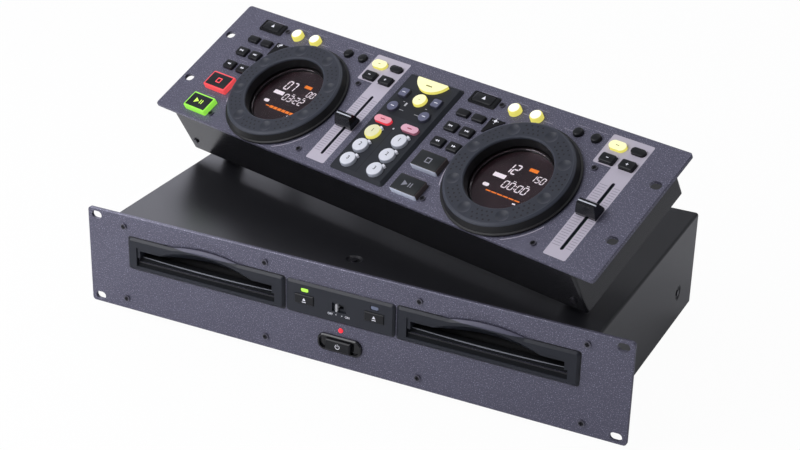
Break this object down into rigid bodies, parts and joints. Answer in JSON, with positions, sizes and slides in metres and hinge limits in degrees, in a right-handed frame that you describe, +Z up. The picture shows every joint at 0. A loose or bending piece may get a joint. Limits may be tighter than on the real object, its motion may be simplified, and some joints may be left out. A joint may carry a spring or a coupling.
{
  "type": "dual slot-loading disc player with remote deck controller",
  "caption": "Rack-width dual disc player with two slots, and a tilted two-deck controller with jog dials, tempo faders and lit keys standing on top.",
  "frame": {"origin": "middle of the assembly's bounding box in plan, on the surface that the player's feet stand on", "axes": "+X to the right along the rack panel, +Y from the front panel to the rear, +Z up"},
  "size_m": [0.4946, 0.2648, 0.2082],
  "materials": {
    "panel_paint": "grey-lilac metallic paint with a fine sparkle, satin",
    "cover_paint": "black baked paint, semi-gloss",
    "case_paint": "black textured paint, satin",
    "bezel_plastic": "dark grey moulded plastic, fine grain",
    "console_plastic": "charcoal moulded plastic, fine grain",
    "key_black": "black moulded plastic, satin",
    "key_light": "translucent pale plastic, lit from behind",
    "key_record": "translucent rose plastic, lit from behind",
    "key_cue": "translucent red rim under a black cap",
    "key_play": "translucent green rim under a black cap",
    "lamp": "small translucent lamp lens",
    "jog_plastic": "dark blue-grey soft-touch plastic",
    "display_black": "black cup with a printed display face",
    "smoked_window": "smoked maroon acrylic",
    "rubber": "black rubber",
    "screw_black": "blackened steel",
    "steel": "plain bright steel",
    "chassis_steel": "black coated sheet steel",
    "drive_plastic": "black glass-filled plastic",
    "sled_plastic": "grey moulded plastic",
    "circuit_board": "green solder mask",
    "transformer_core": "varnished laminations",
    "socket": "black moulded socket body"
  },
  "bodies": {
    "player": {"player_front_panel": "panel_paint", "player_chassis": "chassis_steel", "player_top_cover": "cover_paint", "centre_bezel": "bezel_plastic", "power_switch_frame": "bezel_plastic", "indicator_lamps": "lamp", "player_screws": "screw_black", "player_feet": "rubber", "rear_sockets": "socket", "power_inlet": "socket", "main_board": "circuit_board", "power_transformer": "transformer_core", "slot_bezel_a": "bezel_plastic", "slot_bezel_b": "bezel_plastic", "drive_frame_a": "drive_plastic", "drive_frame_b": "drive_plastic"},
    "controller": {"control_panel": "panel_paint", "control_case": "case_paint", "centre_console": "console_plastic", "display_a": "display_black", "display_b": "display_black", "display_windows": "smoked_window", "control_board": "circuit_board", "control_screws": "screw_black", "control_feet": "rubber", "stand_clips": "key_black", "link_sockets": "socket", "eject_bezels": "bezel_plastic", "corner_lamps": "key_black"},
    "loading_roller_a": {"loading_roller_a": "rubber"},
    "loading_roller_b": {"loading_roller_b": "rubber"},
    "disc_spindle_a": {"disc_spindle_a": "steel"},
    "disc_spindle_b": {"disc_spindle_b": "steel"},
    "pickup_sled_a": {"pickup_sled_a": "sled_plastic"},
    "pickup_sled_b": {"pickup_sled_b": "sled_plastic"},
    "eject_button_a": {"eject_button_a": "key_black"},
    "eject_button_b": {"eject_button_b": "key_black"},
    "power_button": {"power_button": "key_black"},
    "mode_switch": {"mode_switch": "key_black"},
    "jog_dial_a": {"jog_dial_a": "jog_plastic"},
    "jog_dial_b": {"jog_dial_b": "jog_plastic"},
    "tempo_knob_a": {"tempo_knob_a": "key_black"},
    "tempo_knob_b": {"tempo_knob_b": "key_black"},
    "tilt_stand": {"tilt_stand": "steel"},
    "cue_button_a": {"cue_button_a": "key_cue"},
    "cue_button_b": {"cue_button_b": "key_cue"},
    "play_button_a": {"play_button_a": "key_play"},
    "play_button_b": {"play_button_b": "key_play"},
    "deck_eject_button_a": {"deck_eject_button_a": "key_black"},
    "deck_eject_button_b": {"deck_eject_button_b": "key_black"},
    "search_keys_a": {"search_keys_a": "key_black"},
    "search_keys_b": {"search_keys_b": "key_black"},
    "loop_keys_a": {"loop_keys_a": "key_light"},
    "loop_keys_b": {"loop_keys_b": "key_light"},
    "tempo_keys_a": {"tempo_keys_a": "key_black"},
    "tempo_keys_b": {"tempo_keys_b": "key_black"},
    "sync_button": {"sync_button": "key_light"},
    "counter_keys": {"counter_keys": "key_black"},
    "record_keys": {"record_keys": "key_record"},
    "hot_cue_keys": {"hot_cue_keys": "key_light"}
  },
  "joints": [
    {"name": "controller_lift", "type": "slide", "parent": "player", "child": "controller", "axis": [0, 0, 1], "range_m": [0, 0.15]},
    {"name": "loading_roller_a_turn", "type": "hinge", "parent": "player", "child": "loading_roller_a", "pos_m": [-0.12174, -0.09702, 0.0546], "axis": [1, 0, 0], "continuous": true},
    {"name": "disc_spindle_a_turn", "type": "hinge", "parent": "player", "child": "disc_spindle_a", "pos_m": [-0.12174, -0.03402, 0.0571], "axis": [0, 0, 1], "continuous": true},
    {"name": "pickup_sled_a_travel", "type": "slide", "parent": "player", "child": "pickup_sled_a", "axis": [0, 1, 0], "range_m": [0, 0.032]},
    {"name": "eject_button_a_press", "type": "slide", "parent": "player", "child": "eject_button_a", "axis": [0, 1, 0], "range_m": [0, 0.0012], "stiffness_N_per_m": 600},
    {"name": "loading_roller_b_turn", "type": "hinge", "parent": "player", "child": "loading_roller_b", "pos_m": [0.12926, -0.09702, 0.0546], "axis": [1, 0, 0], "continuous": true},
    {"name": "disc_spindle_b_turn", "type": "hinge", "parent": "player", "child": "disc_spindle_b", "pos_m": [0.12926, -0.03402, 0.0571], "axis": [0, 0, 1], "continuous": true},
    {"name": "pickup_sled_b_travel", "type": "slide", "parent": "player", "child": "pickup_sled_b", "axis": [0, 1, 0], "range_m": [0, 0.032]},
    {"name": "eject_button_b_press", "type": "slide", "parent": "player", "child": "eject_button_b", "axis": [0, 1, 0], "range_m": [0, 0.0012], "stiffness_N_per_m": 600},
    {"name": "power_button_press", "type": "slide", "parent": "player", "child": "power_button", "axis": [0, 1, 0], "range_m": [0, 0.0025], "stiffness_N_per_m": 500},
    {"name": "mode_switch_slide", "type": "slide", "parent": "player", "child": "mode_switch", "axis": [1, 0, 0], "range_m": [0, 0.004]},
    {"name": "jog_dial_a_turn", "type": "hinge", "parent": "controller", "child": "jog_dial_a", "pos_m": [-0.11956, 0.01668, 0.17067], "axis": [-0.1397, -0.4681, 0.8726], "continuous": true},
    {"name": "tempo_a_slide", "type": "slide", "parent": "controller", "child": "tempo_knob_a", "axis": [0.2496, 0.8361, 0.4885], "range_m": [-0.03145, 0.02905]},
    {"name": "jog_dial_b_turn", "type": "hinge", "parent": "controller", "child": "jog_dial_b", "pos_m": [0.1176, -0.05411, 0.17067], "axis": [-0.1397, -0.4681, 0.8726], "continuous": true},
    {"name": "tempo_b_slide", "type": "slide", "parent": "controller", "child": "tempo_knob_b", "axis": [0.2496, 0.8361, 0.4885], "range_m": [-0.03385, 0.02665]},
    {"name": "tilt_stand_fold", "type": "hinge", "parent": "controller", "child": "tilt_stand", "pos_m": [0.01895, 0.05539, 0.14829], "axis": [-0.9582, 0.286, 0], "range_deg": [0, 57]},
    {"name": "cue_button_a_press", "type": "slide", "parent": "controller", "child": "cue_button_a", "axis": [0.1397, 0.4681, -0.8726], "range_m": [0, 0.001], "stiffness_N_per_m": 500},
    {"name": "cue_button_b_press", "type": "slide", "parent": "controller", "child": "cue_button_b", "axis": [0.1397, 0.4681, -0.8726], "range_m": [0, 0.001], "stiffness_N_per_m": 500},
    {"name": "play_button_a_press", "type": "slide", "parent": "controller", "child": "play_button_a", "axis": [0.1397, 0.4681, -0.8726], "range_m": [0, 0.001], "stiffness_N_per_m": 500},
    {"name": "play_button_b_press", "type": "slide", "parent": "controller", "child": "play_button_b", "axis": [0.1397, 0.4681, -0.8726], "range_m": [0, 0.001], "stiffness_N_per_m": 500},
    {"name": "deck_eject_button_a_press", "type": "slide", "parent": "controller", "child": "deck_eject_button_a", "axis": [0.1397, 0.4681, -0.8726], "range_m": [0, 0.0008], "stiffness_N_per_m": 500},
    {"name": "deck_eject_button_b_press", "type": "slide", "parent": "controller", "child": "deck_eject_button_b", "axis": [0.1397, 0.4681, -0.8726], "range_m": [0, 0.0008], "stiffness_N_per_m": 500},
    {"name": "search_keys_a_press", "type": "slide", "parent": "controller", "child": "search_keys_a", "axis": [0.1397, 0.4681, -0.8726], "range_m": [0, 0.0008], "stiffness_N_per_m": 500},
    {"name": "search_keys_b_press", "type": "slide", "parent": "controller", "child": "search_keys_b", "axis": [0.1397, 0.4681, -0.8726], "range_m": [0, 0.0008], "stiffness_N_per_m": 500},
    {"name": "loop_keys_a_press", "type": "slide", "parent": "controller", "child": "loop_keys_a", "axis": [0.1397, 0.4681, -0.8726], "range_m": [0, 0.0008], "stiffness_N_per_m": 500},
    {"name": "loop_keys_b_press", "type": "slide", "parent": "controller", "child": "loop_keys_b", "axis": [0.1397, 0.4681, -0.8726], "range_m": [0, 0.0008], "stiffness_N_per_m": 500},
    {"name": "tempo_keys_a_press", "type": "slide", "parent": "controller", "child": "tempo_keys_a", "axis": [0.1397, 0.4681, -0.8726], "range_m": [0, 0.0008], "stiffness_N_per_m": 500},
    {"name": "tempo_keys_b_press", "type": "slide", "parent": "controller", "child": "tempo_keys_b", "axis": [0.1397, 0.4681, -0.8726], "range_m": [0, 0.0008], "stiffness_N_per_m": 500},
    {"name": "sync_button_press", "type": "slide", "parent": "controller", "child": "sync_button", "axis": [0.1397, 0.4681, -0.8726], "range_m": [0, 0.0008], "stiffness_N_per_m": 500},
    {"name": "counter_keys_press", "type": "slide", "parent": "controller", "child": "counter_keys", "axis": [0.1397, 0.4681, -0.8726], "range_m": [0, 0.0008], "stiffness_N_per_m": 500},
    {"name": "record_keys_press", "type": "slide", "parent": "controller", "child": "record_keys", "axis": [0.1397, 0.4681, -0.8726], "range_m": [0, 0.0008], "stiffness_N_per_m": 500},
    {"name": "hot_cue_keys_press", "type": "slide", "parent": "controller", "child": "hot_cue_keys", "axis": [0.1397, 0.4681, -0.8726], "range_m": [0, 0.0008], "stiffness_N_per_m": 500}
  ]
}
